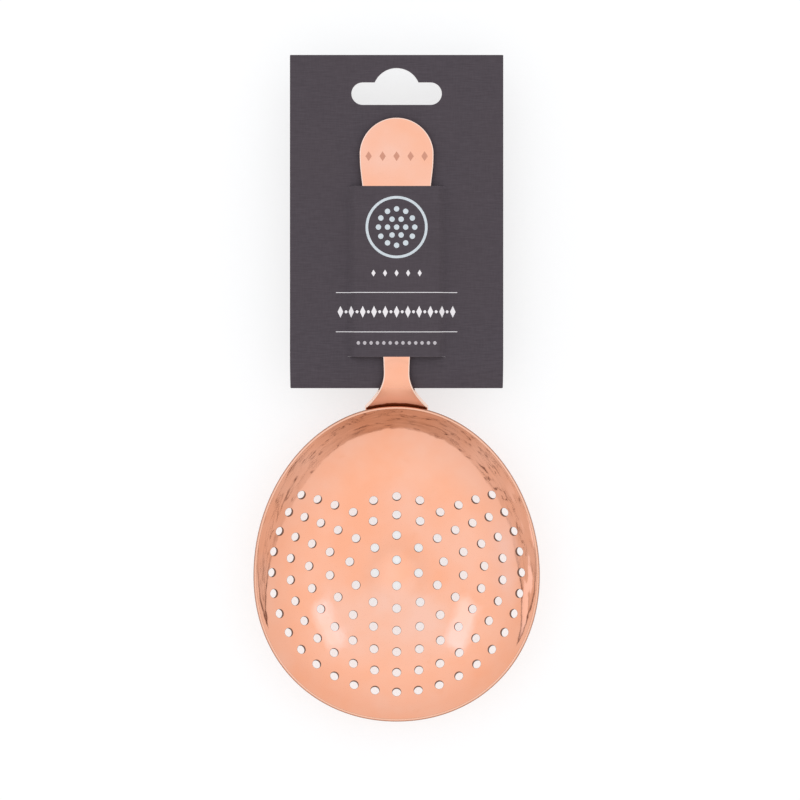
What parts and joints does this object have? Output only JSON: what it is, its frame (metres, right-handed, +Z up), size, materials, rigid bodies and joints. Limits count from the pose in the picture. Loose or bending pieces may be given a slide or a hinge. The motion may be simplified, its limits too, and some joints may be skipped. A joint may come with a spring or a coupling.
{
  "type": "julep strainer",
  "caption": "Perforated sheet-metal strainer bowl with a flat paddle handle, threaded through the slits of a slotted hang card.",
  "frame": {"origin": "middle of the footprint of the strainer and its card, at the height of the lowest metal of the bowl", "axes": "+Y from the bowl along the handle to the top of the card, +Z up out of the hollow of the bowl, +X across the bowl"},
  "size_m": [0.0766, 0.1776, 0.0182],
  "materials": {
    "copper_plate": "polished",
    "weld_metal": "satin",
    "card_board": "matte"
  },
  "bodies": {
    "strainer": {"bowl": "copper_plate", "handle": "copper_plate", "weld_left": "weld_metal", "weld_middle": "weld_metal", "weld_right": "weld_metal"},
    "card": {"hang_card": "card_board"}
  },
  "joints": [
    {"name": "card_slide", "type": "slide", "parent": "strainer", "child": "card", "axis": [0, 1, 0], "range_m": [0, 0.075]}
  ]
}
